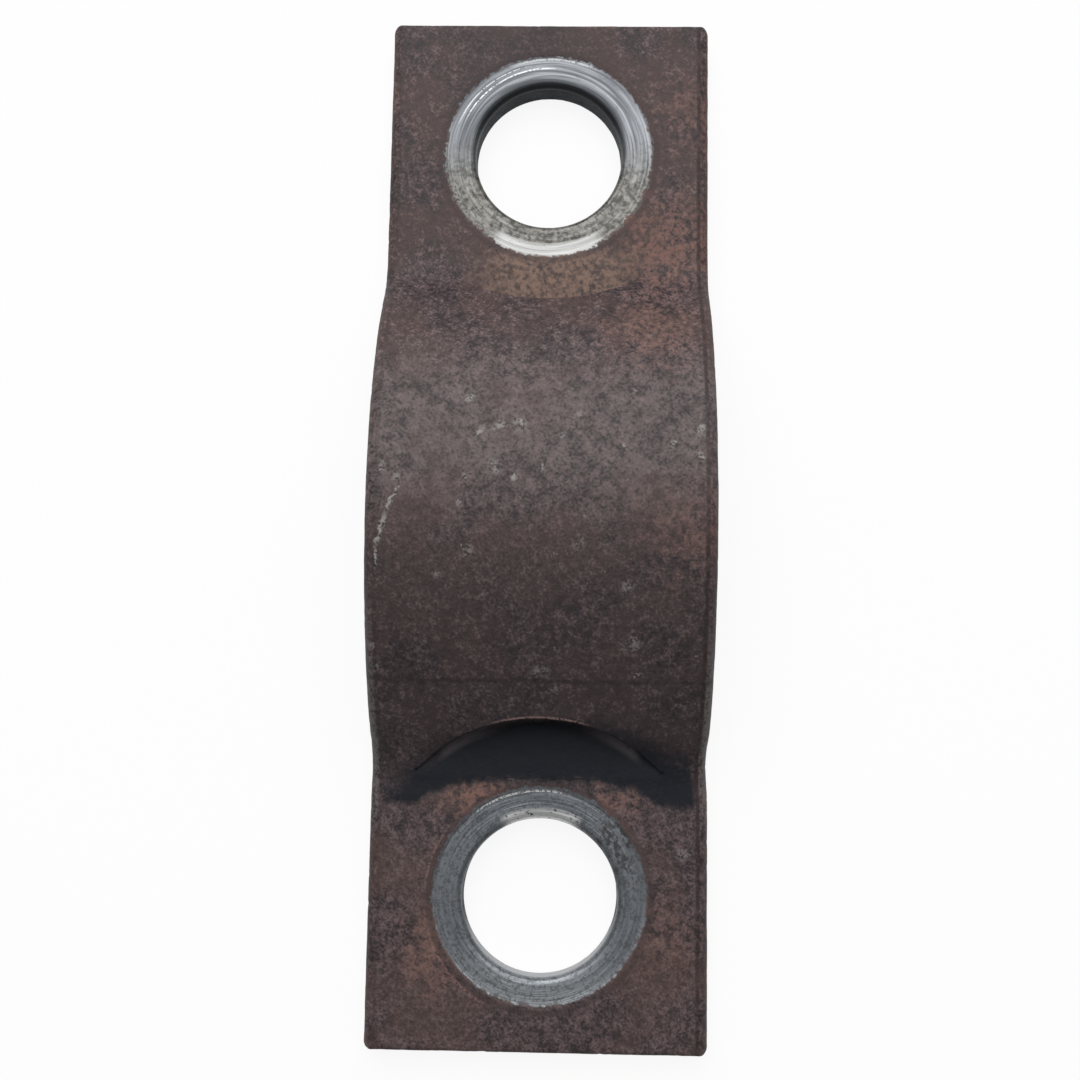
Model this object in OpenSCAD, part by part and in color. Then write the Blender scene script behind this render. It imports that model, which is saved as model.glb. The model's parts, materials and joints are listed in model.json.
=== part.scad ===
// Driveshaft support bracket: one flat steel bar pressed into a shallow saddle between two
// bolted ears. The ears stand on z = 0, the shaft runs along X and the bar along Y.

/* [Bar] */
// Width of the bar, along the shaft
bar_width = 24.2; // [20:0.1:30]
// Thickness of the steel
bar_thickness = 2.5; // [2:0.1:3.2]
// Radius that the mill has rolled on the upper edges along both sides
rolled_edge = 0.8; // [0.3:0.1:0.9]
// Radius on the upper edge of both ends, where the bar was sheared to length
sheared_edge = 0.3; // [0.1:0.1:0.8]
// Radius left on the lower edges after deburring
deburred_edge = 0.3; // [0.1:0.1:0.6]
// Radius of the four outer corners, seen from above
corner_radius = 0.6; // [0.2:0.1:3]

/* [Arch] */
// Inside radius of the saddle, where the bearing sits
saddle_radius = 22.5; // [21:0.5:25]
// Height of the crown above the upper face of the ears
arch_rise = 7.5; // [6:0.1:8.3]
// Radius on the inside of the bend between ear and arch
bend_radius = 4.5; // [1:0.1:5]
// Depth of the faint line that the press tool leaves at both ends of a bend
die_mark = 0.02; // [0.01:0.01:0.05]

/* [Bolt holes] */
// Distance between the middles of the two bolt holes
hole_spacing = 55; // [53:0.5:70]
// Diameter of the bolt holes
hole_diameter = 11; // [8:0.1:12]
// Distance from the middle of a hole to the end of its ear
end_margin = 10.5; // [9:0.1:16]
// Width of the chamfer on the lower mouth of a hole
hole_chamfer = 0.2; // [0.1:0.05:0.5]
// Width of the upper mouth, which the bolts have worn open
mouth_wear = 0.5; // [0.2:0.05:0.7]
// Diameter of the ring that the bolt head has pressed into the ear
seat_diameter = 15.5; // [13.5:0.1:17]
// Depth of that ring
seat_depth = 0.1; // [0.05:0.05:0.3]

/* [Bolt head relief] */
// Steel left under the relief where its round wall comes closest to the crown
relief_web = 1.05; // [0.9:0.05:2]
// Height of the relief's floor above the upper face of the ears
relief_floor = 0.05; // [0.05:0.05:0.4]
// Distance along the bar by which the cutter was set off the holes' middles
relief_offset = 0.5; // [-0.6:0.1:0.6]

/* [Hidden] */
$fn = 96;
// Length by which a cutting shape passes the surface that it cuts
overcut = 1;
// Angle by which a bend runs on inside the arch and inside the ear
bend_lap = 1.5;
crown_radius = saddle_radius + bar_thickness;
saddle_axis = arch_rise - saddle_radius;
// The bend rolls on the ear's face and on the crown's circle, which fixes its own axis
bend_axis_z = bar_thickness + bend_radius;
bend_reach = crown_radius + bend_radius;
bend_axis_y = sqrt(bend_reach ^ 2 - (bend_axis_z - saddle_axis) ^ 2);
flank_angle = asin(bend_axis_y / bend_reach);
ear_end = hole_spacing / 2 + end_margin;
// The relief clears the bolt head and its socket, and reaches up the flank until only the web is left
relief_face = bar_thickness + relief_floor;
relief_wall_y = sqrt(saddle_radius ^ 2 - (relief_face - relief_web - saddle_axis) ^ 2);
relief_radius = hole_spacing / 2 - relief_wall_y;

// What is cut away to round a square corner at the origin, seen in section
module corner_waste(radius) {
    difference() {
        square(radius + overcut);
        circle(radius);
    }
}

// Section across the bar, with its underside on the first axis, rolled upper edges and deburred
// lower ones. An inset draws the same section that much slimmer all round.
module bar_section(inset = 0) {
    difference() {
        translate([inset - bar_width / 2, inset])
            square([bar_width - 2 * inset, bar_thickness - 2 * inset]);
        for (side = [0, 1])
            mirror([side, 0]) {
                translate([bar_width / 2 - rolled_edge, bar_thickness - rolled_edge])
                    corner_waste(rolled_edge - inset);
                translate([bar_width / 2 - deburred_edge, deburred_edge])
                    mirror([0, 1])
                        corner_waste(deburred_edge - inset);
            }
    }
}

// Turns a shape drawn round Z so that its axis lies along X, with angles counted from +Y
module along_shaft() {
    rotate([90, 0, 90])
        children();
}

// The shallow arch over the bearing
module saddle() {
    translate([0, 0, saddle_axis])
        along_shaft()
            rotate_extrude(angle = 2 * flank_angle, start = 90 - flank_angle)
                translate([saddle_radius, 0])
                    rotate(-90)
                        bar_section();
}

// The bend from the arch's flank down to the ear, slimmer by the depth of the tool's mark
module bend() {
    translate([0, bend_axis_y, bend_axis_z])
        along_shaft()
            rotate_extrude(angle = flank_angle + 2 * bend_lap, start = 270 - flank_angle - bend_lap)
                translate([bend_radius + bar_thickness, 0])
                    rotate(90)
                        bar_section(die_mark);
}

// What is cut away along the sheared end of an ear to break its upper and lower edges
module end_waste() {
    translate([-bar_width / 2 - overcut, 0, 0])
        along_shaft()
            linear_extrude(bar_width + 2 * overcut) {
                translate([ear_end - sheared_edge, bar_thickness - sheared_edge])
                    corner_waste(sheared_edge);
                translate([ear_end - deburred_edge, deburred_edge])
                    mirror([0, 1])
                        corner_waste(deburred_edge);
            }
}

// One flat ear, sheared square at its end and rounded a little at both corners
module ear() {
    difference() {
        translate([0, ear_end, 0])
            rotate([90, 0, 0])
                linear_extrude(ear_end - bend_axis_y)
                    bar_section();
        end_waste();
        for (side = [0, 1])
            mirror([side, 0, 0])
                translate([bar_width / 2 - corner_radius, ear_end - corner_radius, -overcut])
                    linear_extrude(bar_thickness + 2 * overcut)
                        corner_waste(corner_radius);
    }
}

// Bolt hole with a worn upper and a chamfered lower mouth, and the ring pressed round it by the bolt head
module bolt_hole() {
    seat_face = bar_thickness - seat_depth;
    hole_radius = hole_diameter / 2;
    translate([0, 0, -overcut])
        cylinder(r = hole_radius, h = bar_thickness + 2 * overcut);
    translate([0, 0, seat_face])
        cylinder(d = seat_diameter, h = seat_depth + overcut);
    translate([0, 0, seat_face - mouth_wear])
        cylinder(r1 = hole_radius, r2 = hole_radius + mouth_wear + overcut, h = mouth_wear + overcut);
    translate([0, 0, -overcut])
        cylinder(r1 = hole_radius + hole_chamfer + overcut, r2 = hole_radius, h = hole_chamfer + overcut);
}

// Round relief for the bolt head and its socket, cut down into the foot of the arch
module head_relief() {
    translate([0, relief_offset, relief_face])
        cylinder(r = relief_radius, h = arch_rise + overcut);
}

module bracket() {
    color("dimgray")
        difference() {
            union() {
                saddle();
                for (side = [0, 1])
                    mirror([0, side, 0]) {
                        bend();
                        ear();
                    }
            }
            for (side = [-1, 1])
                translate([0, side * hole_spacing / 2, 0]) {
                    bolt_hole();
                    head_relief();
                }
        }
}

bracket();
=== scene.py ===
import json
import math

import bpy
import numpy as np
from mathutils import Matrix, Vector, geometry


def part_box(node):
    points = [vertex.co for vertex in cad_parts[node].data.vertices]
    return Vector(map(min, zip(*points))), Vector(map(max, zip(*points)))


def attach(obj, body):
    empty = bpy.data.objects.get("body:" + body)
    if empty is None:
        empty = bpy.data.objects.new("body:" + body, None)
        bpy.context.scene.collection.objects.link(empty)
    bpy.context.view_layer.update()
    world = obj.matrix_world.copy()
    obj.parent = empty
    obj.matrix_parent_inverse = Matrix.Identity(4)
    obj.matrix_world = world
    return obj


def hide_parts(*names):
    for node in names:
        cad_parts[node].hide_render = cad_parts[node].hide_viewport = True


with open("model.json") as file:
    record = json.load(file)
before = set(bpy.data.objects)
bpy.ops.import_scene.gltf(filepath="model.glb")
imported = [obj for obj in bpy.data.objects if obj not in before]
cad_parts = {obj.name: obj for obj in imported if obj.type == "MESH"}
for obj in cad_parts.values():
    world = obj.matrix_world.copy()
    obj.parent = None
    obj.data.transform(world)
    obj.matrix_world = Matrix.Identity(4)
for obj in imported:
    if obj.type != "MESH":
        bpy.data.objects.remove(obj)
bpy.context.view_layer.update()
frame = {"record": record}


# Bracket: one flat mild steel bar, sheared to length, punched and pressed over a former.
# Years outdoors have left brown scale and rust; the bolt heads have kept two rings rubbed bright.
# It is drawn as a flat blank, and a node tree then presses that blank into shape.

# Sizes in millimetres: first those that the frame gives, then the smaller ones
mounts = {mount["name"]: mount for mount in frame["record"]["mounts"]}
low_corner, high_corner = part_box("bracket")
width = 1000 * (high_corner[0] - low_corner[0])
bar_end = 1000 * high_corner[1]
hole_spacing = mounts["ear_bolts"]["dims"]["spacing_y_mm"]
hole_radius = mounts["ear_bolts"]["dims"]["hole_r_mm"]
saddle_radius = mounts["bearing_saddle"]["dims"]["r_mm"]
arch_rise = 1000 * mounts["bearing_saddle"]["pos_m"][2]
thick = 2.5
rolled_edge = 0.8
sheared_edge = 0.3
deburred_edge = 0.3
corner = 0.6
bend_radius = 4.5
upper_mouth = 0.5
lower_mouth = 0.2
seat_depth = 0.1
relief_floor = 0.05
relief_web = 1.05
relief_offset = 0.5

# Spacing of the mesh's points, and how far from a hole's middle, above and below, their even
# spread begins
grain = 0.25
rim_grain = 0.2
ring_border = 8.5
under_border = 6.3

# The front hole was punched a little off its place, and its bolt head has worn a smaller ring
front_hole_shift = (0.17, 0.1)
rear_ring = 7.95
front_ring = 7.65
front_ring_lean = 0.2

# The front bend has drawn the bar in by these shares of its width, more on the right than on the left
drawn_place = -19.3
drawn_reach = 3.5
left_draw = 0.005
right_draw = 0.013

# What rust has eaten: an even loss all over, then scale of uneven depth, then pits
skin_allowance = 0.01
scale_depth = 0.03
pit_depth = 0.05

# Where the press bends the bar, measured along the middle of its thickness from the crown
crown_radius = saddle_radius + thick
saddle_axis = arch_rise - saddle_radius
bend_z = thick + bend_radius
bend_y = math.sqrt((crown_radius + bend_radius) ** 2 - (bend_z - saddle_axis) ** 2)
flank = math.asin(bend_y / (crown_radius + bend_radius))
arch_middle = saddle_radius + thick / 2
bend_middle = bend_radius + thick / 2
arch_end = arch_middle * flank
bend_end = arch_end + bend_middle * flank
blank_end = bend_end + bar_end - bend_y
hole_place = bend_end + hole_spacing / 2 - bend_y
relief_face = thick + relief_floor
relief_wall = math.sqrt(saddle_radius**2 - (relief_face - relief_web - saddle_axis) ** 2)
relief_radius = hole_spacing / 2 - relief_wall
relief_toe = bend_y - math.sqrt(bend_radius**2 - (bend_z - relief_face) ** 2)


def upper_y(along):
    """How far from the crown a point of the blank's upper face lies once it is pressed."""
    far = np.abs(along)
    tilt = flank - np.clip(far - arch_end, 0, bend_end - arch_end) / bend_middle
    arch = crown_radius * np.sin(np.minimum(far, arch_end) / arch_middle)
    bend = bend_y - bend_radius * np.sin(tilt) + np.maximum(far - bend_end, 0)
    return np.where(far < arch_end, arch, bend)


def blank_place(y):
    """The place along the blank of a point of the pressed upper face."""
    arch = arch_middle * np.arcsin(np.clip(y / crown_radius, 0, 1))
    bend = bend_end - bend_middle * np.arcsin(np.clip((bend_y - y) / bend_radius, 0, 1))
    beyond_arch = np.where(y < bend_y, bend, bend_end + y - bend_y)
    return np.where(y < crown_radius * math.sin(flank), arch, beyond_arch)


# The blank's points, how far a relief cuts each one down, how much rust eats it, and the faces
points = []
cut_share = []
skin_share = []
faces = []


def place(rows, height, cut=0.0, skin=1.0):
    """Adds points of the blank and returns their numbers."""
    first = len(points)
    heights = np.broadcast_to(height, len(rows))
    points.extend((x, s, h) for (x, s), h in zip(rows[:, :2], heights))
    cut_share.extend(np.broadcast_to(cut, len(rows)))
    skin_share.extend(np.broadcast_to(skin, len(rows)))
    return np.arange(first, first + len(rows))


def join(row, next_row, closed=True):
    """Lays a band of faces from one row of points to the next."""
    count = len(row) if closed else len(row) - 1
    for i in range(count):
        k = (i + 1) % len(row)
        corners = [row[i], row[k], next_row[k], next_row[i]]
        kept = [c for n, c in enumerate(corners) if c not in corners[:n]]
        if len(kept) > 2:
            faces.append(kept)


def outline(side_inset, end_inset, turn_radius):
    """One loop round the blank, anticlockwise, with each point's share in the sheared ends."""
    half_x = width / 2 - side_inset - turn_radius
    half_s = blank_end - end_inset - turn_radius
    across = np.linspace(half_x, -half_x, round(width / grain))
    along = np.linspace(-half_s, half_s, round(2 * blank_end / grain))
    turn = np.linspace(0, math.pi / 2, 9)[1:-1]
    right = np.stack([0 * along + half_x + turn_radius, along, 0 * along], 1)
    bow_x = half_x + turn_radius * np.cos(turn)
    bow = np.stack([bow_x, half_s + turn_radius * np.sin(turn), np.sin(turn) ** 2], 1)
    end = np.stack([across, 0 * across + half_s + turn_radius, 0 * across + 1], 1)
    half_loop = np.concatenate([right, bow, end, bow[::-1] * (-1, 1, 1)])
    return np.concatenate([half_loop, half_loop * (-1, -1, 1)])


def honeycomb(step, rand):
    """Points all over the blank, evenly spread but not quite in rows."""
    rows = np.arange(-blank_end, blank_end, step * 0.866)
    cols = np.arange(-width / 2, width / 2, step)
    x, s = np.meshgrid(cols, rows)
    x = x + (np.arange(len(rows)) % 2)[:, None] * step / 2
    spread = np.stack([x.ravel(), s.ravel()], 1)
    return spread + rand.uniform(-0.12, 0.12, spread.shape) * step


def sheet_faces(outer, loops, curves, inner, height, upward, cut=0.0):
    """Fills a face of the blank between its outline and the loops round its holes."""
    known = list(outer)
    edges = [(i, (i + 1) % len(outer)) for i in range(len(outer))]
    rings = []
    for loop in loops:
        first = len(known)
        known += list(loop)
        edges += [(first + i, first + (i + 1) % len(loop)) for i in range(len(loop))]
        rings.append(set(range(first, first + len(loop))))
    for curve in curves:
        first = len(known)
        known += list(curve)
        edges += [(first + i, first + i + 1) for i in range(len(curve) - 1)]
    known += list(place(inner, height, cut))
    xy = [Vector(points[i][:2]) for i in known]
    filled = geometry.delaunay_2d_cdt(xy, edges, [], 0, 1e-6)
    triangles, came_from = filled[2], filled[3]
    sheet = []
    for tri in triangles:
        ids = [came_from[v][0] for v in tri]
        if any(all(i in ring for i in ids) for ring in rings):
            continue
        a, b, c = (xy[i] for i in ids)
        left_turn = (b - a).cross(c - a) > 0
        if left_turn != upward:
            ids.reverse()
        sheet.append([known[i] for i in ids])
    return sheet


# The edge all round: rolled along the sides, sheared at the ends, deburred below
quarter = np.linspace(0, math.pi / 2, 7)
edge_loops = []
for t in quarter:
    fall = 1 - math.sin(t)
    loop = outline(rolled_edge * fall, sheared_edge * fall, max(corner * math.sin(t), 0.05))
    roll = rolled_edge + (sheared_edge - rolled_edge) * loop[:, 2]
    edge_loops.append(place(loop, thick - roll * (1 - math.cos(t))))
for k in np.linspace(0, 1, 7)[1:]:
    edge_loops.append(place(loop, (thick - roll) * (1 - k) + deburred_edge * k))
for t in quarter[2::2]:
    inset = deburred_edge * (1 - math.cos(t))
    loop = outline(inset, inset, corner - inset)
    edge_loops.append(place(loop, deburred_edge * (1 - math.sin(t))))
for upper, lower in zip(edge_loops, edge_loops[1:]):
    join(lower, upper)

# The bolt holes, each with its pressed ring, its worn upper mouth and the bore below
segments = 180
angle = np.arange(segments) * 2 * math.pi / segments
even = np.ones(segments)
seat_face = thick - seat_depth
mouth_foot = seat_face - upper_mouth
drag_half = math.radians(29)
rear_middle = np.array([0.0, hole_place])
front_middle = np.array([0.0, -hole_place]) + front_hole_shift
ring_loops = []
under_loops = []
for middle, ring, lean, phase in (
    (rear_middle, rear_ring, 0.0, 1),
    (front_middle, front_ring, front_ring_lean, -1),
):
    ragged = 0.035 * np.sin(5 * angle + phase) + 0.03 * np.sin(11 * angle + 2 * phase)
    seat = ring + lean * np.sin(angle) + (ragged + 0.025 * np.sin(23 * angle))
    # Bolt threads have dragged the front hole's mouth open on the side towards the arch
    drag = np.clip(1 - ((angle - math.pi / 2) / drag_half) ** 2, 0, 1) ** 1.5 * (phase < 0)
    lip = upper_mouth + 0.3 * drag * (1 + 0.1 * np.sin(31 * angle) + 0.08 * np.sin(53 * angle))
    lip_depth = upper_mouth + 0.15 * drag
    inner_edge = hole_radius + lip
    # From the outside in and then down the bore: radius, height and how much rust eats it
    profile = [
        (ring_border * even, thick, 1.0),
        ((ring_border - 0.2) * even, thick, 1.0),
        (seat + 0.14, thick, 1.0),
        (seat + 0.02, thick - 0.015, 0.6),
        (seat - 0.12, thick - 0.05, 0.3),
    ]
    for k in np.linspace(1, 0.08, 8):
        profile.append((inner_edge + (seat - 0.25 - inner_edge) * k, seat_face + 0.03 * k, 0.2))
    for t in quarter:
        mouth = hole_radius + lip * (1 - math.sin(t))
        profile.append((mouth, seat_face - lip_depth * (1 - math.cos(t)), 0.2))
    for height in np.linspace(mouth_foot - 0.25, lower_mouth + 0.05, 6):
        profile.append((hole_radius * even, height, 0.5))
    profile += [
        ((hole_radius + 0.03) * even, lower_mouth * 0.8, 0.5),
        ((hole_radius + lower_mouth - 0.03) * even, 0.03, 0.5),
        ((hole_radius + lower_mouth + 0.06) * even, 0.0, 0.8),
        (under_border * even, 0.0, 1.0),
    ]
    loops = []
    for radius, height, skin in profile:
        loop = middle + np.stack([radius * np.cos(angle), radius * np.sin(angle)], 1)
        loops.append(place(loop, height, 0.0, skin))
    for outer, inner in zip(loops, loops[1:]):
        join(outer, inner)
    ring_loops.append(loops[0])
    under_loops.append(loops[-1])

# The rims of the round reliefs that clear the bolt heads, where their walls cut the arch's flanks
rims = []
rim_points = []
for side in (1, -1):
    centre = hole_spacing / 2 + side * relief_offset
    half_turn = math.acos((centre - relief_toe) / relief_radius)
    swing = np.linspace(-half_turn, half_turn, round(2 * half_turn * relief_radius / rim_grain))
    for reach, store in ((0.0, rims), (0.09, rim_points), (-0.1, rim_points)):
        part = swing if reach == 0 else swing[4:-4]
        x = (relief_radius + reach) * np.sin(part)
        y = centre - (relief_radius + reach) * np.cos(part)
        store.append(np.stack([x, side * blank_place(y)], 1))


def off_relief(where):
    """How far outside its relief's round wall each point of the upper face lies."""
    centre = hole_spacing / 2 + np.sign(where[:, 1]) * relief_offset
    return np.hypot(where[:, 0], upper_y(where[:, 1]) - centre) - relief_radius


def under_cutter(where):
    """Tells which points of the upper face the relief's cutter takes down to its floor."""
    return ((off_relief(where) < 0) & (upper_y(where[:, 1]) < relief_toe)).astype(float)


def clear_of(where, side_room, end_room, hole_room):
    """Tells which points keep their distance from the outline and from the loops round the holes."""
    room = np.abs(where[:, 0]) < width / 2 - side_room
    room &= np.abs(where[:, 1]) < blank_end - end_room
    for middle in (rear_middle, front_middle):
        room &= np.hypot(*(where - middle).T) > hole_room
    return room


rand = np.random.default_rng(7)
inner = honeycomb(grain, rand)
inner = inner[clear_of(inner, rolled_edge + 0.14, sheared_edge + 0.14, ring_border + 0.15)]
inner = inner[(np.abs(off_relief(inner)) > 0.2) | (upper_y(inner[:, 1]) > relief_toe + 0.1)]
inner = np.concatenate([inner] + rim_points)
rim_ids = [place(rim, thick) for rim in rims]
top = sheet_faces(edge_loops[0], ring_loops, rim_ids, inner, thick, True, under_cutter(inner))

# Each rim gets a wall down to the relief's floor, in rows that meet at both ends of the crescent
wall_rows = 9
for rim, ids, side in zip(rims, rim_ids, (1, -1)):
    rows = [ids]
    for k in range(1, wall_rows):
        row = place(rim, thick, (k / (wall_rows - 1)) ** 0.8)
        row[:3] = ids[:3]
        row[-3:] = ids[-3:]
        rows.append(row)
    # The front wall runs the other way round, so its rows change places to face outwards
    for upper, lower in zip(rows, rows[1:]):
        if side > 0:
            join(upper, lower, closed=False)
        else:
            join(lower, upper, closed=False)
    foot = dict(zip(ids, rows[-1]))
    for tri in top:
        middle = np.mean([points[i][:2] for i in tri], 0)[None]
        if middle[0, 1] * side > 0 and under_cutter(middle)[0]:
            tri[:] = [foot.get(i, i) for i in tri]
faces += top

below = honeycomb(2 * grain, rand)
below = below[clear_of(below, deburred_edge + 0.2, deburred_edge + 0.2, under_border + 0.2)]
faces += sheet_faces(edge_loops[-1], under_loops, [], below, 0.0, False)

# The blank as a mesh in metres. Its points keep their place on the blank, their cut and their rust.
used = np.unique(np.concatenate([np.array(face) for face in faces]))
renumber = np.full(len(points), -1)
renumber[used] = np.arange(len(used))
flat = np.array(points)[used]
blank_mesh = bpy.data.meshes.new("flat blank")
blank_faces = [[int(renumber[i]) for i in face] for face in faces]
blank_mesh.from_pydata((flat * 0.001).tolist(), [], blank_faces)
for name, values in (("relief", np.array(cut_share)[used]), ("skin", np.array(skin_share)[used])):
    layer = blank_mesh.attributes.new(name, "FLOAT", "POINT")
    layer.data.foreach_set("value", values.astype(np.float32))
layer = blank_mesh.attributes.new("blank", "FLOAT_VECTOR", "POINT")
layer.data.foreach_set("vector", flat.astype(np.float32).ravel())
blank = bpy.data.objects.new("flat blank", blank_mesh)
bpy.context.scene.collection.objects.link(blank)


# Rust, scale, grime and bare metal, all from the place on the bar and from grain in the steel
steel = bpy.data.materials.new("rusted steel")
steel.use_nodes = True
shade = steel.node_tree
shade.nodes.clear()


def add(tree, kind, *feeds, **settings):
    """Adds a node, sets its options and feeds its inputs with plain values or other nodes' outputs."""
    made = tree.nodes.new(kind)
    for name, value in settings.items():
        setattr(made, name, value)
    for slot, feed in enumerate(feeds):
        if isinstance(feed, bpy.types.NodeSocket):
            tree.links.new(feed, made.inputs[slot])
        elif feed is not None:
            made.inputs[slot].default_value = feed
    return made


def calc(operation, *feeds):
    """Works out a number, in the tree that its first wired feed comes from."""
    tree = next(feed.id_data for feed in feeds if isinstance(feed, bpy.types.NodeSocket))
    return add(tree, "ShaderNodeMath", *feeds, operation=operation).outputs[0]


def fade(value, low, high, start=0.0, stop=1.0):
    """Goes smoothly from one value to another while its input runs from low to high."""
    limits = (low, high, start, stop)
    kind = "ShaderNodeMapRange"
    return add(value.id_data, kind, value, *limits, interpolation_type="SMOOTHSTEP").outputs[0]


def noise(where, scale, detail, rough=0.6):
    """Cloudy grain with so many cells to a unit of length."""
    return add(where.id_data, "ShaderNodeTexNoise", where, None, scale, detail, rough)


def chain(operation, feeds):
    """Takes values together, one after the other."""
    whole = feeds[0]
    for feed in feeds[1:]:
        whole = calc(operation, whole, feed)
    return whole


def product(*feeds):
    return chain("MULTIPLY", feeds)


def total(*feeds):
    return chain("ADD", feeds)


def most(*feeds):
    return chain("MAXIMUM", feeds)


def vector(operation, first, second, result="Vector"):
    """Works out a vector, or the plain value that some operations give."""
    return add(shade, "ShaderNodeVectorMath", first, second, operation=operation).outputs[result]


def tint(share, under, over):
    """Lays one colour over another."""
    made = add(shade, "ShaderNodeMix", data_type="RGBA")
    for slot, feed in ((0, share), (6, under), (7, over)):
        if isinstance(feed, bpy.types.NodeSocket):
            shade.links.new(feed, made.inputs[slot])
        else:
            made.inputs[slot].default_value = (*feed, 1.0)
    return made.outputs[2]


def near(where, x, y, reach, soft):
    """How strongly a place is felt: wholly at its middle, not at all beyond its reach."""
    return fade(vector("DISTANCE", where, (x, y, 0.0), "Value"), reach - soft, reach, 1.0, 0.0)


def band(value, middle, half, soft):
    """One along a line, none beside it."""
    aside = calc("ABSOLUTE", calc("SUBTRACT", value, middle))
    return fade(aside, half, half + soft, 1.0, 0.0)


# Places in millimetres: on the flat blank, and on the pressed bar from its middle and from its toes,
# where the arch's feet meet the ears
on_blank = add(shade, "ShaderNodeAttribute", attribute_name="blank").outputs["Vector"]
cut_down = add(shade, "ShaderNodeAttribute", attribute_name="relief").outputs["Fac"]
solid = add(shade, "ShaderNodeTexCoord").outputs["Object"]
spot = vector("MULTIPLY", solid, (1000.0, 1000.0, 1000.0))
plan = vector("MULTIPLY", solid, (1000.0, 1000.0, 0.0))
bar_x, bar_s, bar_h = add(shade, "ShaderNodeSeparateXYZ", on_blank).outputs
spot_x, spot_y = add(shade, "ShaderNodeSeparateXYZ", spot).outputs[:2]
rear_toe = calc("SUBTRACT", spot_y, bend_y)
front_toe = total(spot_y, bend_y)
side_x = calc("ABSOLUTE", bar_x)
half_width = width / 2
upper_side = fade(bar_h, thick - 1.0, thick - 0.6)

# The grain lies askew to the bar, so that its cells form no rows along it
grain_axis = (0.6, 0.5, 0.62)
grain_turn = 1.1
askew = add(shade, "ShaderNodeVectorRotate", spot, None, grain_axis, grain_turn).outputs[0]
broad = noise(askew, 0.2, 1.0).outputs[0]
loose = noise(askew, 0.9, 2.0)
patch = loose.outputs[0]
mottle = noise(askew, 2.4, 2.0).outputs[0]
fine = noise(askew, 5.5, 1.0).outputs[0]
speckle = total(product(mottle, 0.5), product(fine, 0.5))
mixed = total(product(speckle, 0.72), product(patch, 0.28))
crust = total(product(mottle, 0.65), product(patch, 0.35))
wander = vector("SUBTRACT", loose.outputs["Color"], (0.5, 0.5, 0.5))
wander_y = add(shade, "ShaderNodeSeparateXYZ", wander).outputs[1]
strayed = vector("ADD", plan, vector("MULTIPLY", wander, (6.0, 6.0, 0.0)))

# Brown scale, from dark to light in fine mottling, with warmer fields
dark_scale = (0.024, 0.0172, 0.0190)
light_scale = (0.095, 0.0645, 0.0670)
warm_scale = (0.086, 0.053, 0.045)
rust = tint(fade(mixed, 0.39, 0.59), dark_scale, light_scale)
rust = tint(product(fade(broad, 0.42, 0.60), 0.5), rust, warm_scale)

# The crown is paler with painted sheen, a little to the rear of its middle, and the front flank darker with
# painted shade
crown_painted_sheen = (0.152, 0.126, 0.121)
flank_painted_shade = (0.031, 0.0265, 0.0295)
sheen_place = 5.2
# Painted sheen: a band of paler colour where the crown faces the window
crown = product(band(bar_s, sheen_place, 1.5, 7.0), fade(mixed, 0.36, 0.58, 0.12, 1.0), upper_side)
crown = product(crown, fade(patch, 0.36, 0.62, 0.65, 1.15))
rust = tint(product(crown, 0.62), rust, crown_painted_sheen)
# Painted shade on the front flank, down to its toe, where it faces away from the window
painted_flank_shade = product(fade(spot_y, 1.0, -6.0), fade(front_toe, -0.95, 1.25), upper_side)
rust = tint(product(painted_flank_shade, 0.45), rust, flank_painted_shade)

# Dark hollows, pale flakes that grow stronger to the rear, and a dark field beyond the rear ring
hollow_dark = (0.018, 0.0135, 0.015)
flake_pale = (0.205, 0.152, 0.145)
field_dark = (0.030, 0.022, 0.025)
rust = tint(product(fade(speckle, 0.45, 0.35), 0.28), rust, hollow_dark)
flakes = product(fade(speckle, 0.52, 0.63), fade(patch, 0.36, 0.6))
rust = tint(product(flakes, fade(spot_y, -4.0, 6.0, 0.34, 0.65)), rust, flake_pale)
dark_field = product(near(strayed, -1.0, bar_end - 1.5, 8.0, 6.0), upper_side, 0.35)
rust = tint(dark_field, rust, field_dark)

# Redder rust where water has stood: place across and along the bar, reach and strength of each stain
wet_red = (0.215, 0.112, 0.088)
wet = [
    (9.0, 20.5, 5.5, 0.95),
    (8.0, 13.0, 5.0, 0.6),
    (-4.6, -20.4, 2.6, 1.0),
    (10.5, -2.0, 5.0, 0.36),
    (-7.0, -31.0, 4.0, 0.55),
    (11.5, 31.0, 4.5, 0.5),
    (5.6, -20.6, 2.2, 0.6),
    (9.0, -30.0, 4.0, 0.3),
]
red = most(*[product(near(strayed, x, y, reach, reach * 0.85), share) for x, y, reach, share in wet])
red = product(red, fade(crust, 0.36, 0.58), fade(speckle, 0.36, 0.6, 0.4, 1.0), upper_side)
rust = tint(product(red, 0.88), rust, wet_red)

# Ochre dust on the rear relief's floor, thickest along its rim and a little to the right
dust_ochre = (0.232, 0.148, 0.110)
line_ochre = (0.235, 0.175, 0.135)
dust_shift = 0.8
rear_centre = (0.0, hole_spacing / 2 + relief_offset, 0.0)
rear_span = vector("DISTANCE", plan, rear_centre, "Value")
dust_side = calc("ABSOLUTE", calc("SUBTRACT", bar_x, dust_shift))
dust = product(fade(rear_span, relief_radius + 0.05, relief_radius - 0.2), fade(rear_toe, 1.25, -0.45))
dust = product(dust, fade(total(dust_side, product(wander_y, 5.0)), 7.4, 2.6), upper_side)
dust = product(dust, fade(crust, 0.38, 0.58, 0.2, 0.95), fade(speckle, 0.34, 0.62, 0.5, 0.95))
rust = tint(dust, rust, dust_ochre)
dust_line = product(band(rear_span, relief_radius - 0.1, 0.05, 0.14), fade(side_x, 6.5, 4.0))
dust_line = product(dust_line, upper_side, fade(rear_toe, -0.05, -0.85), fade(speckle, 0.36, 0.52))
rust = tint(product(dust_line, 0.6), rust, line_ochre)
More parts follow.
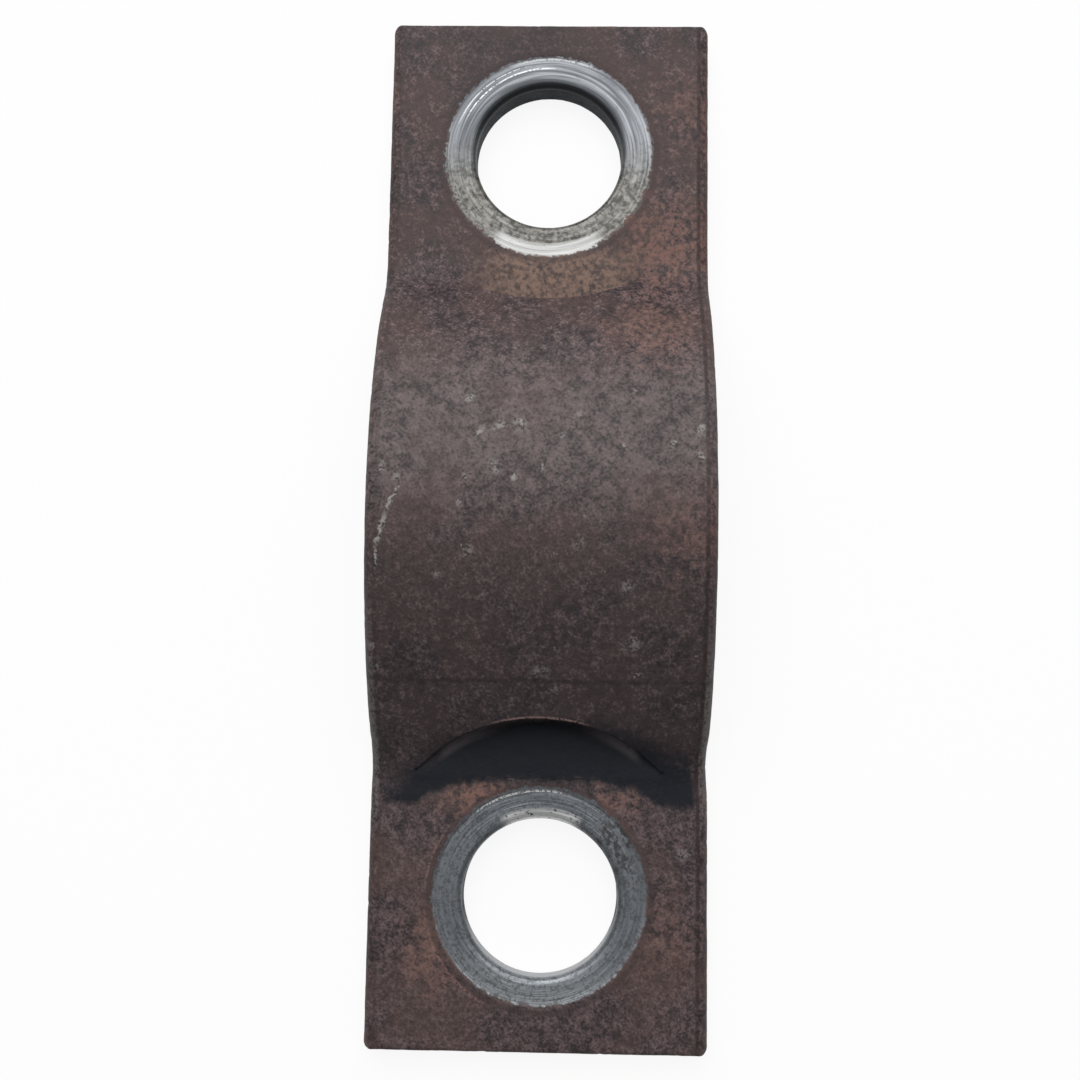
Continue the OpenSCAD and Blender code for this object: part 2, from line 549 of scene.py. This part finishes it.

# Black grime and painted shade in the front foot: hard under the rim's middle, soft towards the sides
grime_and_shade_black = (0.0115, 0.0145, 0.0195)
front_centre = (0.0, relief_offset - hole_spacing / 2, 0.0)
front_span = vector("DISTANCE", plan, front_centre, "Value")
outside = calc("SUBTRACT", total(front_span, product(wander_y, 0.8)), relief_radius)
foot_reach = total(product(side_x, 0.22), product(bar_x, 0.055))
foot_soft = calc("MINIMUM", total(product(side_x, 0.36), 0.3), 2.2)
depth_in = calc("DIVIDE", calc("SUBTRACT", foot_reach, outside), foot_soft)
under_rim = fade(depth_in, 0.0, 1.0)
toe_x = calc("MINIMUM", side_x, 8.8)
toe_line = total(front_toe, product(toe_x, toe_x, toe_x, toe_x, 0.0003), wander_y)
toe = fade(toe_line, 0.1, 0.9)
grime_and_shade = product(under_rim, toe, fade(side_x, half_width - 0.6, half_width - 1.3), upper_side)
# The relief's wall, which faces away from the window, is darkened too: grime and painted shade
wall = product(fade(cut_down, 0.08, 0.3), fade(cut_down, 1.0, 0.9), fade(spot_y, 0.0, -1.0))
grime_and_shade = most(grime_and_shade, product(wall, 0.85))
rust = tint(product(grime_and_shade, 0.94), rust, grime_and_shade_black)

# Paler colour along the foot of the front relief's wall, painted light that lifts the wall's shadow there,
# and a thin pale line on its rim
wall_foot_painted_light = (0.105, 0.095, 0.103)
rim_highlight_red = (0.25, 0.165, 0.150)
inward = calc("SUBTRACT", relief_radius, front_span)
painted_light_at_wall_foot = product(fade(inward, -0.05, 0.1), fade(inward, 0.9, 0.2))
painted_light_at_wall_foot = product(painted_light_at_wall_foot, fade(side_x, 2.5, 5.5), fade(side_x, 7.6, 6.4))
painted_light_at_wall_foot = product(painted_light_at_wall_foot, fade(front_toe, -1.35, -0.35), upper_side)
rust = tint(product(painted_light_at_wall_foot, 0.85), rust, wall_foot_painted_light)
# The thin line on the rim is partly rub and partly a painted highlight where the rim's edge catches the
# light
rim_rub_and_highlight = product(band(front_span, relief_radius + 0.06, 0.05, 0.1), fade(side_x, 4.0, 2.4))
rim_rub_and_highlight = product(rim_rub_and_highlight, upper_side, fade(fine, 0.36, 0.52), fade(cut_down, 0.15, 0.05))
rust = tint(rim_rub_and_highlight, rust, rim_highlight_red)

# Dark pits, then dark lines along the edges where the rolled edge begins, dirt and painted shade in that
# crease, and painted light on the rolled edges beside them
pit_dark = (0.018, 0.013, 0.013)
crease_dirt_and_shade_dark = (0.020, 0.011, 0.011)
edge_painted_light_grey = (0.135, 0.122, 0.118)
cells = add(shade, "ShaderNodeTexVoronoi", spot, None, 1.7)
cell_pick = add(shade, "ShaderNodeSeparateColor", cells.outputs["Color"]).outputs
pit = product(fade(cells.outputs["Distance"], 0.30, 0.16), fade(cell_pick[0], 0.6, 0.7))
rust = tint(product(pit, fade(patch, 0.4, 0.6), 0.4), rust, pit_dark)
roll_end = half_width - rolled_edge
edge_crease_dirt_and_shade = product(band(side_x, roll_end + 0.03, 0.06, 0.16), fade(patch, 0.3, 0.6, 0.3, 1.0))
edge_crease_dirt_and_shade = product(edge_crease_dirt_and_shade, upper_side, fade(bar_x, -1.0, 1.0, 0.4, 1.0))
rust = tint(product(edge_crease_dirt_and_shade, 0.75), rust, crease_dirt_and_shade_dark)
# Painted light on the rolled edges of the front half, which face sideways to the light
painted_edge_light = product(fade(side_x, roll_end + 0.1, roll_end + 0.3), fade(spot_y, -4.0, -14.0))
painted_edge_light = product(painted_edge_light, fade(front_toe, -3.85, -0.85), fade(speckle, 0.36, 0.56))
rust = tint(product(painted_edge_light, 0.7), rust, edge_painted_light_grey)

# The line that the former has left across the front flank, with a scuff below it
press_dark = (0.014, 0.010, 0.011)
scuff_grey = (0.115, 0.104, 0.097)
press_place = -12.15
scuff_place = press_place - 1.15
bent_s = total(bar_s, product(wander_y, 0.6))
press_line = product(band(bent_s, press_place, 0.04, 0.22), fade(patch, 0.35, 0.55, 0.3, 1.0), upper_side)
rust = tint(product(press_line, 0.55), rust, press_dark)
scuff = product(band(bent_s, scuff_place, 0.4, 0.8), fade(mixed, 0.52, 0.64), upper_side)
rust = tint(product(scuff, 0.5), rust, scuff_grey)

# Small flecks where blows have gone through the scale, scattered and thickest over the crown
fleck_grey = (0.30, 0.280, 0.270)
chip_place = vector("ADD", spot, vector("MULTIPLY", wander, (1.2, 1.2, 1.2)))
chips = add(shade, "ShaderNodeTexVoronoi", chip_place, None, 0.62)
chip_pick = add(shade, "ShaderNodeSeparateColor", chips.outputs["Color"]).outputs
chip_size = fade(chip_pick[1], 0.3, 1.0, 0.06, 0.24)
chip = fade(calc("DIVIDE", chips.outputs["Distance"], chip_size), 1.0, 0.4)
chip = product(chip, fade(chip_pick[0], 0.45, 0.6), fade(fine, 0.36, 0.54), upper_side)
chip = product(chip, band(bar_s, -1.0, 7.0, 9.0))

# Larger flecks, hard and light ones: place across and along the blank, and reach
hard_blows = [(-5.0, 7.0, 0.4), (-3.1, 5.0, 0.7), (-1.6, 5.1, 0.7), (-4.2, 4.6, 0.5)]
hard_blows += [(-3.2, 2.1, 0.5), (-1.8, 1.5, 0.4), (0.0, 2.1, 0.4), (10.9, 4.8, 0.5)]
hard_blows += [(10.8, 3.0, 0.45), (-11.0, 2.0, 0.5), (8.9, 3.9, 0.35), (5.6, 3.6, 0.35)]
light_blows = [(0.0, -11.4, 0.9), (10.3, -26.1, 0.6), (-4.9, -3.4, 0.8), (-7.0, -5.0, 0.6)]
light_blows += [(3.0, -1.1, 0.4), (6.3, -9.4, 0.9), (5.8, -5.6, 0.8), (2.5, -2.7, 0.7)]
blow_plan = vector("ADD", on_blank, vector("MULTIPLY", wander, (1.5, 1.5, 0.0)))
blow_plan = vector("MULTIPLY", blow_plan, (1.0, 1.0, 0.0))
hard = most(*[near(blow_plan, x, s, reach, reach) for x, s, reach in hard_blows])
light = most(*[near(blow_plan, x, s, reach, reach) for x, s, reach in light_blows])
blow = product(most(hard, product(light, 0.4)), fade(speckle, 0.40, 0.58), upper_side)
rust = tint(most(product(chip, 0.5), blow), rust, fleck_grey)


def scratch(x0, s0, x1, s1, half):
    """A thin mark from one place on the blank to another."""
    run = math.hypot(x1 - x0, s1 - s0)
    ux = (x1 - x0) / run
    us = (s1 - s0) / run
    off = vector("SUBTRACT", on_blank, (x0, s0, 0.0))
    along = vector("DOT_PRODUCT", off, (ux, us, 0.0), "Value")
    aside = vector("DOT_PRODUCT", off, (-us, ux, 0.0), "Value")
    aside = total(aside, product(calc("SUBTRACT", mottle, 0.5), 0.7))
    ends = product(fade(along, -0.3, 0.6), fade(along, run - 0.6, run + 0.3, 1.0, 0.0))
    return product(band(aside, 0.0, half * 0.3, half * 0.7), ends, upper_side)


# The long scratch on the left of the crown, in three runs, and a short one on the front flank:
# where each begins and ends on the blank, and half its width
score_bright = (0.33, 0.32, 0.31)
scored = [
    (-9.7, 1.0, -10.6, -1.0, 0.14),
    (-10.6, -1.0, -11.2, -3.1, 0.24),
    (-11.2, -3.2, -11.2, -4.6, 0.1),
    (6.3, -11.8, 7.0, -11.5, 0.14),
]
score = product(most(*[scratch(*ends) for ends in scored]), fade(speckle, 0.38, 0.52))
rust = tint(product(score, 0.8), rust, score_bright)

# Seat rings kept bright by the bolt heads, measured from the middle of the nearer hole.
# They are scored in circles and frayed, and rust creeps in over the lower quarters of the rear one.
rear_half = calc("GREATER_THAN", spot_y, 0.0)
front_half = calc("SUBTRACT", 1.0, rear_half)


def by_half(front, rear):
    """One value for the front half of the bar and another for the rear half."""
    return fade(rear_half, 0.0, 1.0, front, rear)


middle_y = by_half(front_hole_shift[1] - hole_spacing / 2, hole_spacing / 2)
off_x = calc("SUBTRACT", spot_x, by_half(front_hole_shift[0], 0.0))
off_y = calc("SUBTRACT", spot_y, middle_y)
ring_r = calc("SQRT", total(product(off_x, off_x), product(off_y, off_y)))
heading = calc("ARCTAN2", off_y, off_x)
rightward = calc("COSINE", heading)
upward = calc("SINE", heading)
outward = total(product(ring_r, 4.5), by_half(0.0, 50.0))
lathe_place = (outward, product(rightward, 1.1), product(upward, 1.1))
lathe = add(shade, "ShaderNodeCombineXYZ", *lathe_place).outputs[0]
scores = noise(lathe, 1.0, 2.0).outputs[0]
lower_quarters = product(fade(upward, 0.4, -0.2), fade(upward, -0.95, -0.8))
creep = product(lower_quarters, rear_half, 1.2)
fray = product(calc("SUBTRACT", crust, 0.5), total(creep, 0.9))
lean = product(upward, by_half(-front_ring_lean, 0.0))
past_ring = calc("SUBTRACT", ring_r, by_half(front_ring, rear_ring))
frayed = total(past_ring, fray, product(creep, 0.06), lean)
bare = product(fade(frayed, 0.06, -0.16), fade(bar_h, mouth_foot - 0.05, mouth_foot + 0.05))


def arc(middle, half, start, stop):
    """A thin line round a hole, between two headings in degrees."""
    low = math.radians(start)
    high = math.radians(stop)
    ends = product(fade(heading, low, low + 0.25), fade(heading, high - 0.25, high, 1.0, 0.0))
    return product(band(ring_r, middle, half, half), ends)


# Rear ring: bluish above with thin bright arcs, dirty on its lower quarters, polished at its foot
blue_dark = (0.120, 0.127, 0.140)
blue_light = (0.240, 0.250, 0.266)
blue_left = (0.085, 0.089, 0.098)
dirt_dark = (0.062, 0.058, 0.049)
dirt_light = (0.185, 0.179, 0.160)
crack_dark = (0.060, 0.056, 0.048)
foot_polish = (0.34, 0.34, 0.335)
mouth_shade = (0.035, 0.038, 0.042)
arc_bright = (0.55, 0.56, 0.57)
rear_tone = tint(fade(scores, 0.3, 0.7), blue_dark, blue_light)
rear_tone = tint(fade(rightward, 0.2, -0.9, 0.0, 0.35), rear_tone, blue_left)
worn_low = fade(upward, 0.35, -0.5)
low_grain = total(product(crust, 0.6), product(speckle, 0.4))
low_tone = tint(fade(low_grain, 0.40, 0.60), dirt_dark, dirt_light)
rear_tone = tint(product(worn_low, 0.85), rear_tone, low_tone)
cracks = product(fade(crust, 0.45, 0.36), total(0.15, product(worn_low, 0.6)))
rear_tone = tint(cracks, rear_tone, crack_dark)
polish = product(fade(ring_r, rear_ring - 1.15, rear_ring - 0.9), fade(upward, -0.80, -0.90))
polish = product(polish, fade(crust, 0.70, 0.60))
rear_tone = tint(polish, rear_tone, foot_polish)
inner_shade = product(fade(ring_r, hole_radius + 0.9, hole_radius + 0.4), fade(upward, -0.1, 0.6))
rear_tone = tint(inner_shade, rear_tone, mouth_shade)
strong_arc = arc(6.98, 0.035, 80, 158)
weak_arc = product(arc(7.32, 0.03, 98, 165), 0.7)
outer_arc = product(arc(7.7, 0.05, 60, 120), 0.6)
bright = product(most(strong_arc, weak_arc, outer_arc), fade(speckle, 0.62, 0.5))
rear_tone = tint(bright, rear_tone, arc_bright)

# Front ring: dull blue steel, paler at its foot, with the torn lip of the mouth above
dull_dark = (0.115, 0.124, 0.137)
dull_light = (0.225, 0.238, 0.255)
foot_pale = (0.34, 0.365, 0.38)
speck_dark = (0.055, 0.058, 0.063)
stain_dark = (0.040, 0.036, 0.036)
lip_bright = (0.62, 0.62, 0.62)
front_tone = tint(fade(scores, 0.25, 0.75), dull_dark, dull_light)
front_tone = tint(fade(upward, -0.4, -1.0, 0.0, 0.5), front_tone, foot_pale)
front_tone = tint(product(fade(speckle, 0.47, 0.6), 0.5), front_tone, speck_dark)
front_stain = product(near(strayed, 6.0, -23.6, 3.0, 2.4), fade(crust, 0.42, 0.56))
front_tone = tint(product(front_stain, 0.75), front_tone, stain_dark)
lip_shine = product(fade(ring_r, hole_radius + 0.9, hole_radius + 0.6), fade(upward, 0.86, 0.94))
lip_shine = product(lip_shine, fade(speckle, 0.66, 0.56))
front_arcs = most(arc(7.5, 0.05, 70, 135), arc(7.55, 0.05, -65, -30))
front_arcs = product(front_arcs, fade(fine, 0.4, 0.55))
front_tone = tint(most(lip_shine, front_arcs), front_tone, lip_bright)
metal_tone = tint(rear_half, front_tone, rear_tone)

# Red lines round the front ring and shade round both, and the dull bores inside them, with painted light on
# the lower side of the front bore
ring_red = (0.210, 0.120, 0.105)
ring_dark = (0.036, 0.021, 0.020)
bore_dark = (0.033, 0.039, 0.045)
bore_painted_light = (0.42, 0.43, 0.44)
red_ring = product(most(arc(8.2, 0.06, -168, -112), arc(8.15, 0.05, 140, 182)), front_half)
red_ring = product(red_ring, fade(fine, 0.36, 0.55), upper_side)
rust = tint(product(red_ring, 0.6), rust, ring_red)
seat_shade = product(band(past_ring, 0.2, 0.1, 0.3), fade(speckle, 0.38, 0.56), upper_side)
rust = tint(product(seat_shade, 0.5), rust, ring_dark)
mouth_edge = hole_radius + upper_mouth
bore = product(fade(ring_r, mouth_edge + 0.1, mouth_edge), fade(bar_h, mouth_foot + 0.05, mouth_foot - 0.05))
rust = tint(bore, rust, bore_dark)
painted_bore_light = product(bore, fade(upward, -0.1, -0.6), front_half)
rust = tint(painted_bore_light, rust, bore_painted_light)

# Lumpy, dull scale on the skin; fine circular scoring and a soft shine on the rings
skin_rough = fade(mixed, 0.35, 0.65, 0.52, 0.7)
ring_rough = fade(scores, 0.3, 0.7, 0.55, 0.38)
on_ring = fade(past_ring, 0.1, -0.2)
lumps = add(shade, "ShaderNodeMix", on_ring, None, product(mixed, 0.08), product(scores, 0.04))
texture = add(shade, "ShaderNodeBump", 1.0, 0.001)
shade.links.new(lumps.outputs[0], texture.inputs["Height"])
finish = {
    "Base Color": tint(bare, rust, metal_tone),
    "Metallic": product(bare, 0.8),
    "Roughness": add(shade, "ShaderNodeMix", bare, None, skin_rough, ring_rough).outputs[0],
    "Normal": texture.outputs[0],
    "Specular IOR Level": fade(most(grime_and_shade, bore), 0.0, 1.0, 0.3, 0.1),
}
skin_shader = add(shade, "ShaderNodeBsdfPrincipled")
for name, feed in finish.items():
    shade.links.new(feed, skin_shader.inputs[name])
add(shade, "ShaderNodeOutputMaterial", skin_shader.outputs[0])

# The press: takes the flat blank over the former, cuts the reliefs and leaves the skin uneven
press = bpy.data.node_groups.new("press the blank", "GeometryNodeTree")
press.interface.new_socket("Blank", in_out="INPUT", socket_type="NodeSocketGeometry")
press.interface.new_socket("Bracket", in_out="OUTPUT", socket_type="NodeSocketGeometry")
tool_sizes = {
    "Arch radius": arch_middle * 0.001,
    "Arch axis height": saddle_axis * 0.001,
    "Bend radius": bend_middle * 0.001,
    "Flank angle": flank,
    "Thickness": thick * 0.001,
    "Half width": half_width * 0.001,
    "Relief floor": relief_face * 0.001,
    "Skin allowance": skin_allowance * 0.001,
    "Scale depth": scale_depth * 0.001,
    "Pit depth": pit_depth * 0.001,
    "Front bend place": drawn_place * 0.001,
    "Front bend reach": drawn_reach * 0.001,
    "Left draw": left_draw,
    "Right draw": right_draw,
}
for name, value in tool_sizes.items():
    socket = press.interface.new_socket(name, in_out="INPUT", socket_type="NodeSocketFloat")
    socket.default_value = value
tool = press.nodes.new("NodeGroupInput").outputs

# Each point's way along the blank is shared out between the arch, the bend and the ear
before = add(press, "GeometryNodeInputPosition").outputs[0]
flat_x, flat_s, flat_h = add(press, "ShaderNodeSeparateXYZ", before).outputs
arch_r = tool["Arch radius"]
bend_r = tool["Bend radius"]
turn = tool["Flank angle"]
along = calc("ABSOLUTE", flat_s)
arch_run = calc("MULTIPLY", arch_r, turn)
bend_run = calc("MULTIPLY", bend_r, turn)
on_arch = calc("MINIMUM", along, arch_run)
past_arch = calc("MAXIMUM", calc("SUBTRACT", along, arch_run), 0.0)
on_bend = calc("MINIMUM", past_arch, bend_run)
on_ear = calc("SUBTRACT", past_arch, on_bend)
arch_angle = calc("DIVIDE", on_arch, arch_r)
bend_angle = calc("SUBTRACT", turn, calc("DIVIDE", on_bend, bend_r))
slope = calc("SUBTRACT", calc("ADD", arch_angle, bend_angle), turn)
bend_out = calc("MULTIPLY", bend_r, calc("SUBTRACT", calc("SINE", turn), calc("SINE", bend_angle)))
bend_down = calc("MULTIPLY", bend_r, calc("SUBTRACT", calc("COSINE", bend_angle), calc("COSINE", turn)))
mid_y = calc("ADD", calc("MULTIPLY", arch_r, calc("SINE", arch_angle)), calc("ADD", bend_out, on_ear))
mid_z = calc("ADD", tool["Arch axis height"], calc("MULTIPLY", arch_r, calc("COSINE", arch_angle)))
mid_z = calc("SUBTRACT", mid_z, bend_down)
above = calc("SUBTRACT", flat_h, calc("MULTIPLY", tool["Thickness"], 0.5))
bent_y = calc("ADD", mid_y, calc("MULTIPLY", above, calc("SINE", slope)))
bent_y = calc("MULTIPLY", bent_y, calc("SIGN", flat_s))
bent_z = calc("ADD", mid_z, calc("MULTIPLY", above, calc("COSINE", slope)))

# The relief's cutter comes down after the press, and the front bend draws the bar in
cut = add(press, "GeometryNodeInputNamedAttribute", "relief").outputs["Attribute"]
bent_z = calc("ADD", bent_z, calc("MULTIPLY", cut, calc("SUBTRACT", tool["Relief floor"], bent_z)))
from_bend = calc("ABSOLUTE", calc("SUBTRACT", flat_s, tool["Front bend place"]))
pull = fade(from_bend, 0.0, tool["Front bend reach"], 1.0, 0.0)
left_edge = calc("MULTIPLY", tool["Half width"], -1.0)
draw = fade(flat_x, left_edge, tool["Half width"], tool["Left draw"], tool["Right draw"])
bent_x = calc("MULTIPLY", flat_x, calc("SUBTRACT", 1.0, calc("MULTIPLY", pull, draw)))
bent = add(press, "ShaderNodeCombineXYZ", bent_x, bent_y, bent_z).outputs[0]
pressed = add(press, "GeometryNodeSetPosition", tool["Blank"], None, bent)

# Rust then sinks the skin, in waves of scale and in pits
here = add(press, "GeometryNodeInputPosition").outputs[0]
facing = add(press, "GeometryNodeInputNormal").outputs[0]
skin = add(press, "GeometryNodeInputNamedAttribute", "skin").outputs["Attribute"]
waves = fade(noise(here, 700.0, 5.0).outputs[0], 0.3, 0.75)
pits = fade(noise(here, 1900.0, 2.0, 0.5).outputs[0], 0.58, 0.74)
depth = total(product(waves, tool["Scale depth"]), product(pits, tool["Pit depth"]))
depth = total(product(depth, skin), tool["Skin allowance"])
sink = add(press, "ShaderNodeVectorMath", facing, operation="SCALE")
press.links.new(product(depth, -1.0), sink.inputs["Scale"])
aged = add(press, "GeometryNodeSetPosition", pressed.outputs[0], None, None, sink.outputs[0])
whole = add(press, "GeometryNodeRealizeInstances", aged.outputs[0])
painted = add(press, "GeometryNodeSetMaterial", whole.outputs[0])
painted.inputs["Material"].default_value = steel
add(press, "NodeGroupOutput", painted.outputs[0])

forming = blank.modifiers.new("press", "NODES")
forming.node_group = press
for item in press.interface.items_tree:
    if item.in_out == "INPUT" and item.name in tool_sizes:
        forming[item.identifier] = tool_sizes[item.name]
graph = bpy.context.evaluated_depsgraph_get()
formed_blank = blank.evaluated_get(graph)
skin_mesh = bpy.data.meshes.new_from_object(formed_blank, preserve_all_data_layers=True, depsgraph=graph)
blank.modifiers.remove(forming)
bpy.data.objects.remove(blank)
skin_mesh.name = "bracket skin"
skin_mesh.shade_smooth()
bracket = bpy.data.objects.new("pressed_bracket", skin_mesh)
bpy.context.scene.collection.objects.link(bracket)
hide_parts("bracket")
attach(bracket, "root")


# Floor: a wide sheet of matt white board that the bracket lies on.
# It is part of the studio and not of the bracket.
half_board = 1.5
glow_share = 0.9
board_corners = [(x * half_board, y * half_board, 0) for x, y in ((-1, -1), (1, -1), (1, 1), (-1, 1))]
floor_mesh = bpy.data.meshes.new("floor")
floor_mesh.from_pydata(board_corners, [], [(0, 1, 2, 3)])
floor = bpy.data.objects.new("floor", floor_mesh)
bpy.context.scene.collection.objects.link(floor)
board = bpy.data.materials.new("white board")
board.use_nodes = True
paper = board.node_tree
matt = paper.nodes["Principled BSDF"]
matt.inputs["Base Color"].default_value = (0.92, 0.92, 0.92, 1.0)
matt.inputs["Roughness"].default_value = 0.9
matt.inputs["Specular IOR Level"].default_value = 0.1
# The eye and every mirror see the board nearly white, and it still shows the bracket's shadow
glow = add(paper, "ShaderNodeEmission", (1.0, 1.0, 1.0, 1.0), 1.0)
ray = add(paper, "ShaderNodeLightPath").outputs
seen = most(ray["Is Camera Ray"], ray["Is Glossy Ray"], ray["Is Transmission Ray"])
lit = add(paper, "ShaderNodeMixShader", product(seen, glow_share), matt.outputs[0], glow.outputs[0])
paper.links.new(lit.outputs[0], paper.nodes["Material Output"].inputs["Surface"])
floor_mesh.materials.append(board)


# Light: one broad soft window beyond the rear ear, turned to the bracket,
# and an even white room all round.
window = bpy.data.lights.new("window", "AREA")
window.shape = "SQUARE"
window.size = 0.55
window.energy = 3.0
window_stand = bpy.data.objects.new("window", window)
window_stand.location = (-0.03, 0.30, 0.42)
window_stand.rotation_euler = (-Vector(window_stand.location)).to_track_quat("-Z", "Y").to_euler()
bpy.context.scene.collection.objects.link(window_stand)
room = bpy.data.worlds.new("white room")
room.use_nodes = True
room.node_tree.nodes["Background"].inputs["Color"].default_value = (1.0, 1.0, 1.0, 1.0)
room.node_tree.nodes["Background"].inputs["Strength"].default_value = 0.28
bpy.context.scene.world = room


# Camera: held by hand a little in front of the crown, looking almost straight down.
# Its lens, place and turn were fitted to the bar's outline and to both holes.
lens = bpy.data.cameras.new("camera")
lens.sensor_width = 36.0
lens.lens = 45.324
lens.clip_start = 0.005
camera = bpy.data.objects.new("camera", lens)
camera.location = (0.001998, -0.014230, 0.101036)
camera.rotation_euler = (math.radians(7.1707), math.radians(1.1608), math.radians(0.9270))
bpy.context.scene.collection.objects.link(camera)
bpy.context.scene.camera = camera
bpy.context.scene.view_settings.view_transform = "Standard"
